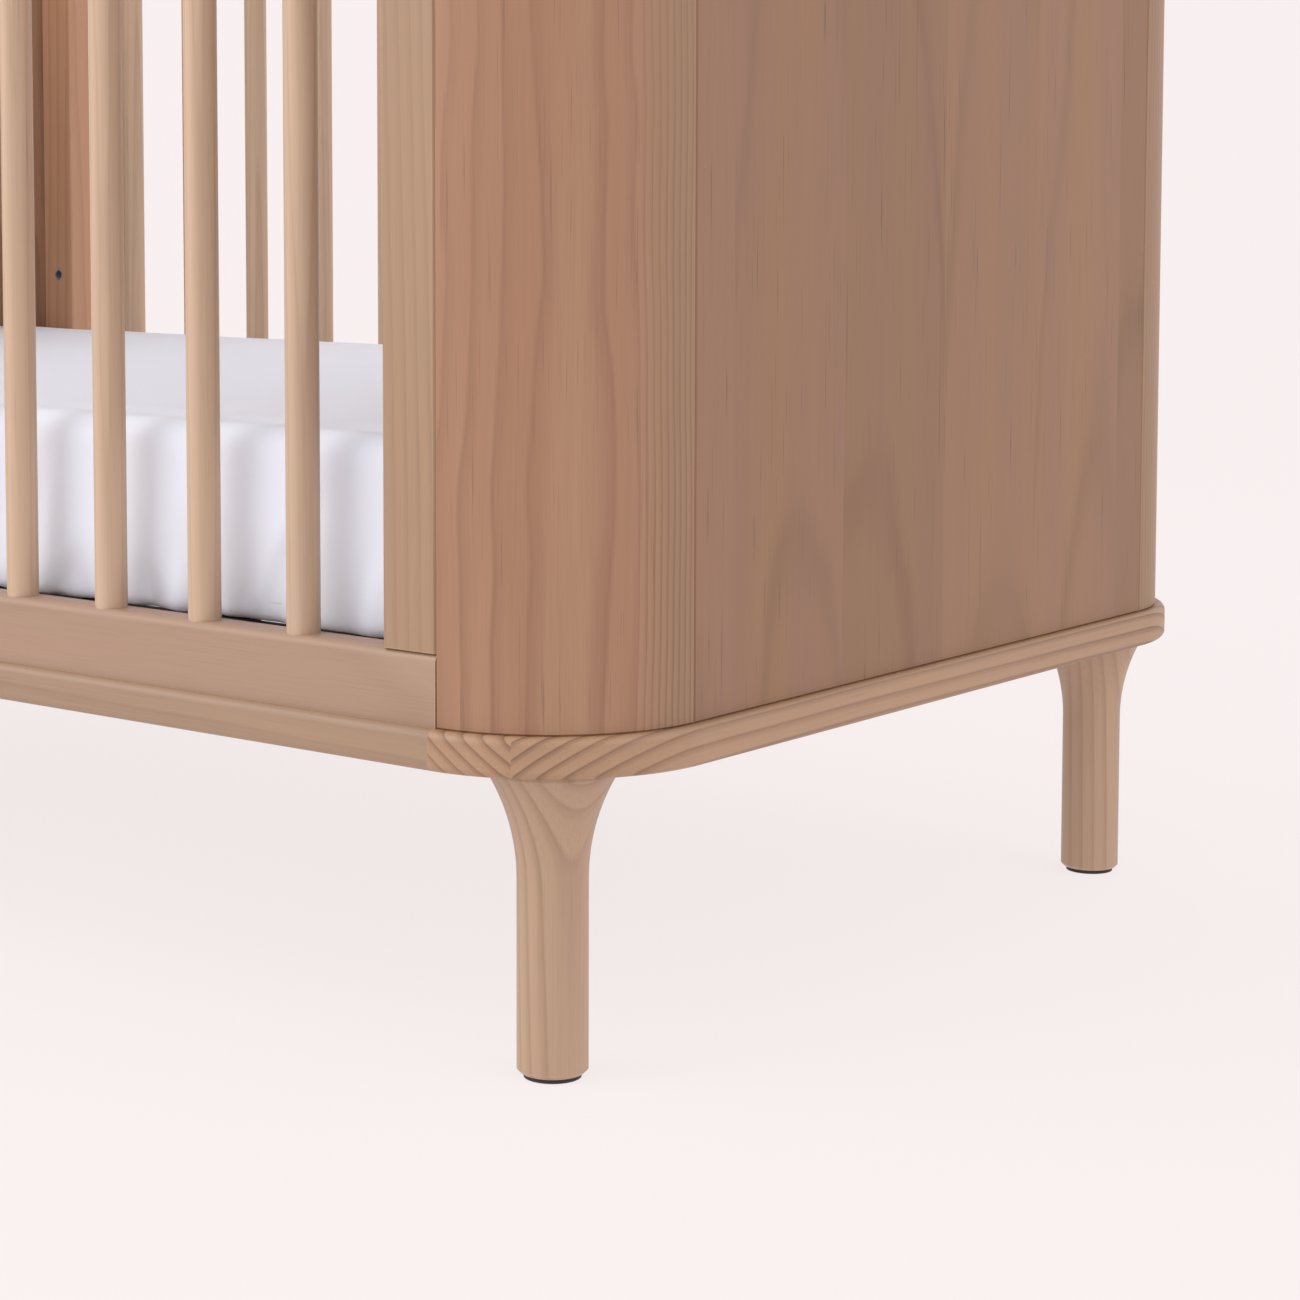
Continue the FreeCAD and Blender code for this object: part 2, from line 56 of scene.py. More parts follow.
# ---------------------------------------------------------------- material helpers
class Shader:
    """A node material built with short calls; every call returns an output socket."""

    def __init__(self, name):
        self.mat = bpy.data.materials.new(name)
        self.mat.use_nodes = True
        self.tree = self.mat.node_tree
        self.tree.nodes.clear()
        self.bsdf = self.tree.nodes.new("ShaderNodeBsdfPrincipled")
        out = self.tree.nodes.new("ShaderNodeOutputMaterial")
        self.tree.links.new(self.bsdf.outputs[0], out.inputs[0])

    def put(self, socket, value):
        if isinstance(value, bpy.types.NodeSocket):
            self.tree.links.new(value, socket)
        elif value is not None:
            socket.default_value = value

    def math(self, op, a, b=None, c=None, clamp=False):
        n = self.tree.nodes.new("ShaderNodeMath")
        n.operation, n.use_clamp = op, clamp
        for socket, value in zip(n.inputs, (a, b, c)):
            self.put(socket, value)
        return n.outputs[0]

    def position(self):
        return self.tree.nodes.new("ShaderNodeTexCoord").outputs["Object"]

    def split(self, vector):
        n = self.tree.nodes.new("ShaderNodeSeparateXYZ")
        self.put(n.inputs[0], vector)
        return n.outputs[0], n.outputs[1], n.outputs[2]

    def join(self, x, y, z):
        n = self.tree.nodes.new("ShaderNodeCombineXYZ")
        for socket, value in zip(n.inputs, (x, y, z)):
            self.put(socket, value)
        return n.outputs[0]

    def noise(self, vector, scale=1.0, detail=2.0, rough=0.5, dims="3D", w=0.0):
        n = self.tree.nodes.new("ShaderNodeTexNoise")
        n.noise_dimensions = dims
        if dims != "1D":
            self.put(n.inputs["Vector"], vector)
        if dims in ("1D", "4D"):
            self.put(n.inputs["W"], w)
        self.put(n.inputs["Scale"], scale)
        self.put(n.inputs["Detail"], detail)
        self.put(n.inputs["Roughness"], rough)
        return n.outputs["Fac"]

    def random_of(self, value):
        n = self.tree.nodes.new("ShaderNodeTexWhiteNoise")
        n.noise_dimensions = "1D"
        self.put(n.inputs["W"], value)
        return n.outputs["Value"]

    def ramp(self, fac, stops, mode="EASE"):
        n = self.tree.nodes.new("ShaderNodeValToRGB")
        n.color_ramp.interpolation = mode
        elements = n.color_ramp.elements
        while len(elements) < len(stops):
            elements.new(0.5)
        for element, (at, shade) in zip(elements, stops):
            element.position = at
            element.color = (*shade, 1) if isinstance(shade, tuple) else (shade, shade, shade, 1)
        self.put(n.inputs[0], fac)
        return n.outputs[0]

    def mix(self, fac, a, b, mode="MIX"):
        n = self.tree.nodes.new("ShaderNodeMix")
        n.data_type, n.blend_type = "RGBA", mode
        self.put(n.inputs[0], fac)
        for socket, value in ((n.inputs[6], a), (n.inputs[7], b)):
            self.put(socket, (*value, 1) if isinstance(value, tuple) else value)
        return n.outputs[2]

    def bump(self, height, strength, distance):
        n = self.tree.nodes.new("ShaderNodeBump")
        n.inputs["Strength"].default_value = strength
        n.inputs["Distance"].default_value = distance
        self.put(n.inputs["Height"], height)
        self.put(self.bsdf.inputs["Normal"], n.outputs[0])

    def edge_mask(self, radius):
        """1 on edges and arrises, 0 on flat faces."""
        bevel = self.tree.nodes.new("ShaderNodeBevel")
        bevel.samples = 4
        bevel.inputs["Radius"].default_value = radius
        geometry = self.tree.nodes.new("ShaderNodeNewGeometry")
        dot = self.tree.nodes.new("ShaderNodeVectorMath")
        dot.operation = "DOT_PRODUCT"
        self.put(dot.inputs[0], bevel.outputs[0])
        self.put(dot.inputs[1], geometry.outputs["Normal"])
        return self.math("MULTIPLY", self.math("SUBTRACT", 1.0, dot.outputs["Value"]), 6.0, clamp=True)


def rgb(r, g, b):
    """Linear colour of a display colour given as 0 to 255."""
    return tuple((v / 255 / 12.92) if v / 255 <= 0.04045 else ((v / 255 + 0.055) / 1.055) ** 2.4
                 for v in (r, g, b))


def wood(name, light, dark, grain="z", around_corner=False, board=0.0, ring=0.006, tilt=None,
         pith=(0.03, 0.09), taper=0.03, warp=0.006, ripple=0.0, contrast=0.7, tint=None, rough=0.46,
         thin=False, crowd_and_shade_start=None, streaks=0.14, edge_highlight=0.3, seed=0.0):
    """Lacquered pine as a solid texture: growth rings, fibres, pores, board and tone variation.

    grain is the row axis that the fibres follow. around_corner unrolls the texture round the
    crib's corner. board is the width of the glued-up boards. tilt, in degrees, swaps the round
    rings for nearly flat ones that lean by that angle. thin narrows the dark lines,
    crowd_and_shade_start is where across the board they close up and where painted shade, darker
    and greyer, begins. streaks is how much dashes show, and edge_highlight is how much edges are
    painted lighter, a painted highlight.
    """
    s = Shader(name)
    x, y, z = s.split(s.position())
    if around_corner:
        ax = s.math("SUBTRACT", s.math("ABSOLUTE", x), arc_x)
        ay = s.math("SUBTRACT", s.math("ABSOLUTE", y), arc_y)
        across = s.math("MULTIPLY", s.math("ARCTAN2", ax, ay), corner_radius)
        side = s.math("ADD", s.math("SIGN", x), s.math("MULTIPLY", s.math("SIGN", y), 2.0))
        deep = s.math("MULTIPLY", side, 0.031)
        along = s.math("ADD", z, s.math("MULTIPLY", side, 0.37))
    else:
        order = {"x": (y, z, x), "y": (x, z, y), "z": (y, x, z)}[grain]
        across, deep, along = order
    along = s.math("ADD", along, seed)
    if board:
        number = s.math("FLOOR", s.math("DIVIDE", across, board))
        luck = s.random_of(s.math("ADD", number, seed + 0.5))
        other = s.random_of(s.math("ADD", number, seed + 7.5))
        middle = s.math("MULTIPLY_ADD", luck, 0.7, 0.15)
        middle = s.math("MULTIPLY", s.math("ADD", number, middle), board)
        across = s.math("SUBTRACT", across, middle)
        along = s.math("ADD", along, s.math("MULTIPLY", other, 3.0))
    slow = s.join(s.math("MULTIPLY", across, 14.0), s.math("MULTIPLY", deep, 14.0),
                  s.math("MULTIPLY", along, 2.6))
    wave_a = s.math("MULTIPLY", s.math("SUBTRACT", s.noise(slow, 1.0, 3.0, 0.45), 0.5), 2 * warp)
    wide = s.join(s.math("MULTIPLY", across, 4.0), s.math("MULTIPLY", deep, 4.0),
                  s.math("MULTIPLY", along, 1.1))
    wave_b = s.math("MULTIPLY", s.math("SUBTRACT", s.noise(wide, 1.0, 2.0, 0.5), 0.5), 5 * warp)
    if tilt is None:
        off_u = s.math("SUBTRACT", s.math("ADD", across, wave_b), pith[0])
        off_w = s.math("ADD", deep, pith[1])
        if board:
            off_w = s.math("ADD", off_w, s.math("MULTIPLY", other, 0.09))
        radius = s.math("SQRT", s.math("ADD", s.math("MULTIPLY", off_u, off_u),
                                       s.math("MULTIPLY", off_w, off_w)))
        depth = s.math("ADD", radius, s.math("MULTIPLY", along, taper))
    else:
        lean = math.radians(tilt)
        depth = s.math("ADD", s.math("MULTIPLY", deep, math.cos(lean)),
                       s.math("MULTIPLY", across, math.sin(lean)))
    depth = s.math("ADD", depth, wave_a)
    if ripple:
        short = s.join(s.math("MULTIPLY", across, 11.0), s.math("MULTIPLY", deep, 11.0),
                       s.math("MULTIPLY", along, 8.0))
        wave_c = s.math("SUBTRACT", s.noise(short, 1.0, 1.0, 0.4), 0.5)
        depth = s.math("ADD", depth, s.math("MULTIPLY", wave_c, 2 * ripple))
    if crowd_and_shade_start:
        beyond = s.math("MAXIMUM", s.math("SUBTRACT", across, crowd_and_shade_start), 0.0)
        depth = s.math("ADD", depth, s.math("MULTIPLY", beyond, 2.4))
    turn = s.math("FRACT", s.math("DIVIDE", depth, ring))
    if thin:
        latewood = s.ramp(turn, [(0.0, 0.0), (0.72, 0.1), (0.88, 1.0), (0.95, 0.3), (1.0, 0.0)])
    else:
        latewood = s.ramp(turn, [(0.0, 0.12), (0.45, 0.2), (0.74, 0.62), (0.88, 1.0), (0.96, 0.45),
                                 (1.0, 0.12)])
    fade = s.math("MULTIPLY_ADD", s.noise(wide, 2.3, 2.0), 0.9, 0.25, clamp=True)
    late = s.math("MULTIPLY", s.math("MULTIPLY", latewood, fade), contrast)

    fine = s.join(s.math("MULTIPLY", across, 900.0), s.math("MULTIPLY", deep, 900.0),
                  s.math("MULTIPLY", along, 14.0))
    fibre = s.noise(fine, 1.0, 2.0, 0.6)
    dashes = s.join(s.math("MULTIPLY", across, 760.0), s.math("MULTIPLY", deep, 760.0),
                    s.math("MULTIPLY", along, 13.0))
    pore = s.ramp(s.noise(dashes, 1.0, 1.0), [(0.0, 0.0), (0.66, 0.0), (0.8, 1.0)])
    streak = s.join(s.math("MULTIPLY", across, 24.0), s.math("MULTIPLY", deep, 24.0),
                    s.math("MULTIPLY", along, 0.9))
    tone = s.noise(streak, 1.0, 3.0, 0.5)

    colour = s.mix(late, light, dark)
    if tint:
        colour = s.mix(s.ramp(tone, [(0.0, 0.0), (0.32, 0.0), (0.68, 0.9), (1.0, 1.0)]), colour,
                       s.mix(late, tint, tuple(c * 0.78 for c in tint)))
    lift = s.math("MULTIPLY_ADD", tone, 0.3, 0.85)
    if board:
        lift = s.math("MULTIPLY", lift, s.math("MULTIPLY_ADD", luck, 0.16, 0.92))
    lift = s.math("MULTIPLY", lift, s.math("MULTIPLY_ADD", fibre, 0.22, 0.89))
    lift = s.math("SUBTRACT", lift, s.math("MULTIPLY", pore, streaks))
    colour = s.mix(1.0, colour, s.join(lift, lift, lift), "MULTIPLY")
    # Past that point the colour is also painted darker and greyer: painted shade on the part of the
    # corner that turns toward the end, away from the key light. The closer rings there are grain.
    if crowd_and_shade_start:
        colour = s.mix(s.math("MULTIPLY", s.math("MULTIPLY", beyond, 40.0, clamp=True), 0.7), colour,
                       s.mix(late, rgb(146, 113, 84), rgb(118, 86, 60)))
    # Edges and arrises are painted lighter here: a painted highlight.
    colour = s.mix(s.math("MULTIPLY", s.edge_mask(0.0016), edge_highlight), colour,
                   tuple(min(1.0, c * 1.45) for c in light))
    s.put(s.bsdf.inputs["Base Color"], colour)
    gloss = s.math("MULTIPLY_ADD", fibre, 0.16, rough - 0.08)
    gloss = s.math("ADD", gloss, s.math("MULTIPLY", tone, 0.06))
    s.put(s.bsdf.inputs["Roughness"], gloss)
    s.bsdf.inputs["Coat Weight"].default_value = 0.12
    s.bsdf.inputs["Coat Roughness"].default_value = 0.38
    height = s.math("ADD", s.math("MULTIPLY", late, 0.6), s.math("MULTIPLY", fibre, 0.5))
    height = s.math("SUBTRACT", height, s.math("MULTIPLY", pore, 0.7))
    s.bump(height, 0.35, 0.00025)
    return s.mat


def painted_steel(name, colour, rough, metallic=0.0):
    """Powder-coated or plated steel: fine orange peel, dust in the flats, worn edges."""
    s = Shader(name)
    p = s.position()
    grain = s.noise(p, 900.0, 3.0, 0.6)
    cloud = s.noise(p, 14.0, 4.0, 0.6)
    shade = s.mix(s.math("MULTIPLY", cloud, 0.5), colour, tuple(c * 1.7 + 0.01 for c in colour))
    shade = s.mix(s.math("MULTIPLY", s.edge_mask(0.001), 0.4), shade, (0.32, 0.31, 0.30))
    s.put(s.bsdf.inputs["Base Color"], shade)
    s.put(s.bsdf.inputs["Roughness"], s.math("MULTIPLY_ADD", cloud, 0.22, rough))
    s.bsdf.inputs["Metallic"].default_value = metallic
    s.bump(grain, 0.25, 0.0002)
    return s.mat


def woven_cotton(name, colour, thread=0.0007, sheen=0.35):
    """Fine plain-weave cotton: over-and-under threads, slubs, soft nap."""
    s = Shader(name)
    x, y, z = s.split(s.position())
    geometry = s.tree.nodes.new("ShaderNodeNewGeometry")
    _, ny, nz = s.split(geometry.outputs["Normal"])
    on_top = s.math("GREATER_THAN", s.math("ABSOLUTE", nz), 0.6)
    on_side = s.math("GREATER_THAN", s.math("ABSOLUTE", ny), 0.6)
    k = math.pi / thread
    wx, wy, wz = (s.math("SINE", s.math("MULTIPLY", c, k)) for c in (x, y, z))

    def pick(mask, a, b):
        return s.math("ADD", s.math("MULTIPLY", mask, a),
                      s.math("MULTIPLY", s.math("SUBTRACT", 1.0, mask), b))
    weave = pick(on_top, s.math("MULTIPLY", wx, wy),
                 s.math("MULTIPLY", pick(on_side, wx, wy), wz))
    slub = s.noise(s.join(s.math("MULTIPLY", x, 60.0), s.math("MULTIPLY", y, 700.0),
                          s.math("MULTIPLY", z, 700.0)), 1.0, 2.0)
    cloud = s.noise(s.position(), 9.0, 4.0, 0.6)
    shade = s.mix(s.math("MULTIPLY", cloud, 0.55), colour, tuple(c * 0.93 for c in colour))
    shade = s.mix(s.math("MULTIPLY_ADD", weave, 0.03, 0.03), shade, tuple(c * 0.8 for c in colour))
    shade = s.mix(s.math("MULTIPLY", slub, 0.06), shade, tuple(c * 0.82 for c in colour))
    s.put(s.bsdf.inputs["Base Color"], shade)
    s.put(s.bsdf.inputs["Roughness"], s.math("MULTIPLY_ADD", slub, 0.12, 0.82))
    s.bsdf.inputs["Sheen Weight"].default_value = sheen
    s.bsdf.inputs["Sheen Roughness"].default_value = 0.5
    s.bump(s.math("ADD", s.math("MULTIPLY", weave, 0.5), slub), 0.22, 0.00018)
    return s.mat


# ---------------------------------------------------------------- materials of the carried CAD nodes
def use(material, *names):
    for name in names:
        mesh = nodes[name].data
        mesh.materials.clear()
        mesh.materials.append(material)


CORNERS = ("front_right", "rear_right", "rear_left", "front_left")
RIM_LIGHT, RIM_LINE = rgb(177, 140, 110), rgb(112, 76, 50)

# The end panels' darker tone is partly their own boards and partly painted shade, since their faces
# turn away from the key light.
end_panel = wood("end_panel_pine", rgb(147, 108, 75), rgb(108, 72, 47), board=0.118, ring=0.0055,
                 pith=(0.0, 0.055), taper=0.012, warp=0.0013, ripple=0.0005, contrast=0.42,
                 tint=rgb(138, 100, 79), thin=True, streaks=0.38, seed=0.3)
use(end_panel, "left_end_panel", "right_end_panel")
corner_panel = wood("corner_panel_pine", rgb(178, 138, 108), rgb(130, 86, 59), around_corner=True,
                    ring=0.017, pith=(0.082, 0.045), taper=0.02, warp=0.009, ripple=0.012,
                    contrast=0.85, tint=rgb(158, 114, 86), crowd_and_shade_start=0.122, streaks=0.26, seed=0.2)
use(corner_panel, *(f"corner_panel_{c}" for c in CORNERS))
side_rim = wood("side_rim_pine", rgb(163, 133, 107), RIM_LINE, grain="x", ring=0.007,
                pith=(0.2, 0.1), taper=0.006, warp=0.002, contrast=0.28, edge_highlight=0.2)
use(side_rim, "front_base_rim", "rear_base_rim", "front_top_rim", "rear_top_rim")
for end, lean in (("left", 40), ("right", -40)):
    end_rim = wood(f"{end}_end_rim_pine", RIM_LIGHT, RIM_LINE, grain="y", ring=0.0076, tilt=lean,
                   warp=0.0018, contrast=0.85, edge_highlight=0.06)
    use(end_rim, f"{end}_end_base_rim", f"{end}_end_top_rim")
rail = wood("rail_pine", rgb(174, 144, 119), rgb(142, 108, 84), grain="x", ring=0.009,
            pith=(0.46, -0.16), taper=0.012, warp=0.004, contrast=0.45, tint=rgb(166, 133, 112),
            seed=0.6)
use(rail, "front_bottom_rail", "rear_bottom_rail", "front_top_rail", "rear_top_rail")
stile = wood("stile_pine", rgb(170, 138, 108), rgb(128, 96, 70), ring=0.008, pith=(0.2, 0.5),
             taper=0.025, warp=0.004, contrast=0.5, tint=rgb(161, 126, 100), seed=0.9)
use(stile, "front_left_stile", "front_right_stile", "rear_right_stile")
# The rear-left stile gets its own brighter, redder pine: partly its board's own tone, partly painted
# light on its lit inner face.
lit_rear_stile = wood("red_lit_stile_pine", rgb(202, 156, 122), rgb(164, 112, 80), ring=0.011, pith=(0.1, 0.1),
                  taper=0.02, warp=0.006, contrast=0.7, tint=rgb(194, 142, 106), seed=0.5)
use(lit_rear_stile, "rear_left_stile")
spindle = wood("spindle_pine", rgb(200, 170, 143), rgb(158, 124, 98), ring=0.0045,
               pith=(0.3, 0.2), taper=0.01, warp=0.003, contrast=0.4, seed=0.4)
use(spindle, "front_spindles", "rear_spindles")
leg = wood("leg_pine", rgb(188, 156, 128), rgb(132, 98, 72), ring=0.0085, pith=(0.0, 0.25), taper=0.02,
           warp=0.003, contrast=0.6, tint=rgb(177, 144, 119), seed=0.7)
use(leg, *(f"leg_{c}" for c in CORNERS))

# Each rim corner continues its end board; its side half is a mirrored offcut, so the lines meet in a V.
for corner in CORNERS:
    low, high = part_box(f"base_corner_{corner}_end")
    right = low.x > 0
    for half in ("end", "side"):
        lean = -40 if (half == "end") == right else 40
        piece = wood(f"rim_{corner}_{half}_pine", RIM_LIGHT, RIM_LINE, grain="y", ring=0.0076,
                     tilt=lean, warp=0.0018, contrast=1.0, edge_highlight=0.06)
        use(piece, f"base_corner_{corner}_{half}")
    use(end_rim, f"top_corner_{corner}")

dowel = wood("dowel_beech", rgb(214, 184, 150), rgb(184, 150, 118), grain="x", ring=0.002, contrast=0.3)
use(dowel, "side_dowels", "top_rim_dowels")
zinc = painted_steel("zinc_plated_steel", (0.52, 0.53, 0.55), 0.32, 0.9)
use(zinc, "leg_hanger_bolts", "leg_tee_nuts", "base_rim_screws", "threaded_inserts", "support_pegs")
black = painted_steel("black_powder_coat", (0.03, 0.028, 0.03), 0.62)
use(black, "support_hooks", "support_front_rail", "support_rear_rail", "support_left_end",
    "support_right_end", "support_straps", "support_rivets", "support_centre_bar")
glide = painted_steel("dark_glide_plastic", (0.018, 0.014, 0.012), 0.55)
use(glide, "leg_glides")


# ---------------------------------------------------------------- mattress
def new_object(name, mesh_data, material=None):
    obj = bpy.data.objects.new(name, mesh_data)
    bpy.context.scene.collection.objects.link(obj)
    if material:
        mesh_data.materials.append(material)
    for polygon in mesh_data.polygons:
        polygon.use_smooth = True
    return obj


def slab_point(at, half, corner):
    """The plan point of a rounded rectangle that lies this far along its boundary."""
    straights = (2 * (half[0] - corner), 2 * (half[1] - corner))
    quarter = math.pi * corner / 2
    at %= 2 * sum(straights) + 4 * quarter
    x, y = -half[0] + corner, -half[1]
    heading = 0.0
    for side in range(4):
        straight = straights[side % 2]
        step = min(at, straight)
        x, y = x + step * math.cos(heading), y + step * math.sin(heading)
        at -= step
        if at <= 0:
            break
        turn = min(at, quarter) / corner
        centre = (x - corner * math.sin(heading), y + corner * math.cos(heading))
        x = centre[0] + corner * math.sin(heading + turn)
        y = centre[1] - corner * math.cos(heading + turn)
        at -= turn * corner
        heading += turn
        if at <= 1e-9:
            break
    return x, y


def slab_ring(half, corner, long_count, short_count):
    """Boundary points whose four corners, the middles of the arcs, suit a grid of quads."""
    quarter = math.pi * corner / 2
    at = -quarter / 2
    points = []
    for side in range(4):
        count = short_count if side % 2 else long_count
        length = 2 * (half[side % 2] - corner) + quarter
        points += [slab_point(at + length * i / count, half, corner) for i in range(count)]
        at += length
    return points


def slab_mesh(name, half, corner, profile, long_count, short_count, shape, closed):
    """Quads over a rounded slab: rings along profile, then a grid that fills the last ring.

    profile lists (inset, z) from under the slab to its top. shape(point, i) moves every point; i
    is its place on a ring, None inside a grid. A closed slab gets a grid under its first ring
    too.
    """
    rings = []
    for inset, z in profile:
        inner = (half[0] - inset, half[1] - inset)
        ring = slab_ring(inner, max(corner - inset, 0.02), long_count, short_count)
        rings.append([Vector((x, y, z)) for x, y in ring])
    bm = bmesh.new()
    rows = [[bm.verts.new(shape(point, i)) for i, point in enumerate(ring)] for ring in rings]
    count = len(rows[0])
    for low_row, high_row in zip(rows, rows[1:]):
        for i in range(count):
            j = (i + 1) % count
            bm.faces.new((low_row[i], low_row[j], high_row[j], high_row[i]))

    def fill(row):
        edge, verts = rings[row], rows[row]
        a, b = long_count, long_count + short_count
        grid = [[None] * (short_count + 1) for _ in range(long_count + 1)]
        for i in range(long_count + 1):
            for j in range(short_count + 1):
                u, v = i / long_count, j / short_count
                front, back = edge[i % count], edge[(b + long_count - i) % count]
                left, right = edge[(count - j) % count], edge[(a + j) % count]
                if j == 0:
                    grid[i][j] = verts[i % count]
                elif j == short_count:
                    grid[i][j] = verts[(b + long_count - i) % count]
                elif i == 0:
                    grid[i][j] = verts[(count - j) % count]
                elif i == long_count:
                    grid[i][j] = verts[(a + j) % count]
                else:
                    corners = (edge[0] * (1 - u) * (1 - v) + edge[a] * u * (1 - v)
                               + edge[b] * u * v + edge[(b + long_count) % count] * (1 - u) * v)
                    point = front * (1 - v) + back * v + left * (1 - u) + right * u - corners
                    grid[i][j] = bm.verts.new(shape(point, None))
        for i in range(long_count):
            for j in range(short_count):
                bm.faces.new((grid[i][j], grid[i + 1][j], grid[i + 1][j + 1], grid[i][j + 1]))

    fill(len(rows) - 1)
    if closed:
        fill(0)
    bmesh.ops.recalc_face_normals(bm, faces=bm.faces)
    mesh_data = bpy.data.meshes.new(name)
    bm.to_mesh(mesh_data)
    bm.free()
    return mesh_data


def slab_profile(low, high, edge, low_edge, hem, step, top_inset):
    """Inset and height of a slab's rings: tucked hem, rounded edge, side, rounded edge, top."""
    side = high - low - low_edge - edge
    hem_rows = max(1, round((hem - low_edge) / step))
    side_rows = max(1, round(side / step))
    bends = [math.pi / 2 * i / 4 for i in range(5)]
    profile = [(hem - (hem - low_edge) * i / hem_rows, low) for i in range(hem_rows)]
    profile += [(low_edge - low_edge * math.sin(a), low + low_edge - low_edge * math.cos(a))
                for a in bends]
    profile += [(0.0, low + low_edge + side * i / side_rows) for i in range(1, side_rows)]
    profile += [(edge - edge * math.cos(a), high - edge + edge * math.sin(a)) for a in bends]
    profile.append((top_inset, high))
    return profile


def mattress_core():
    """Foam core in quilted ticking: crowned faces, stitched diamonds and two piped edges."""
    half = (mat_high.x - 0.0075, mat_high.y - 0.0065)
    low, high = mat_low.z, mat_high.z - 0.003
    corner, edge = 0.064, 0.014
    pitch, sunk, plain_border = 0.085, 0.004, 0.02
    middle = (mat_low.z + mat_high.z) / 2

    def quilt(point, i):
        x, y, z = point
        inside = min(half[0] - abs(x), half[1] - abs(y))
        if inside <= plain_border or abs(z - middle) < 0.04:
            return point
        a = abs(math.sin(math.pi * (x + y) / pitch)) ** 0.5
        b = abs(math.sin(math.pi * (x - y) / pitch)) ** 0.5
        dip = sunk * (1 - min(a, b)) * min(1.0, (inside - plain_border) / plain_border)
        return Vector((x, y, z + (dip if z < middle else -dip)))

    profile = slab_profile(low, high, edge, edge, hem=0.026, step=0.012, top_inset=0.026)
    mesh_data = slab_mesh("mattress_core", half, corner, profile, 150, 78, quilt, True)
    ticking = woven_cotton("mattress_ticking", (0.74, 0.74, 0.75), thread=0.0011, sheen=0.2)
    core = new_object("mattress_core", mesh_data, ticking)
    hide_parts("mattress")
    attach(core, "mattress")
    for label, z in (("low", low + 0.012), ("high", high - 0.012)):
        path = slab_ring((half[0] - 0.0008, half[1] - 0.0008), 0.063, 80, 42)
        curve = bpy.data.curves.new(f"mattress_piping_{label}", "CURVE")
        curve.dimensions = "3D"
        spline = curve.splines.new("POLY")
        spline.points.add(len(path) - 1)
        for point, (x, y) in zip(spline.points, path):
            point.co = (x, y, z, 1)
        spline.use_cyclic_u = True
        curve.bevel_depth = 0.0022
        curve.bevel_resolution = 3
        piping = bpy.data.objects.new(curve.name, curve)
        bpy.context.scene.collection.objects.link(piping)
        curve.materials.append(ticking)
        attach(piping, "mattress")
    return core


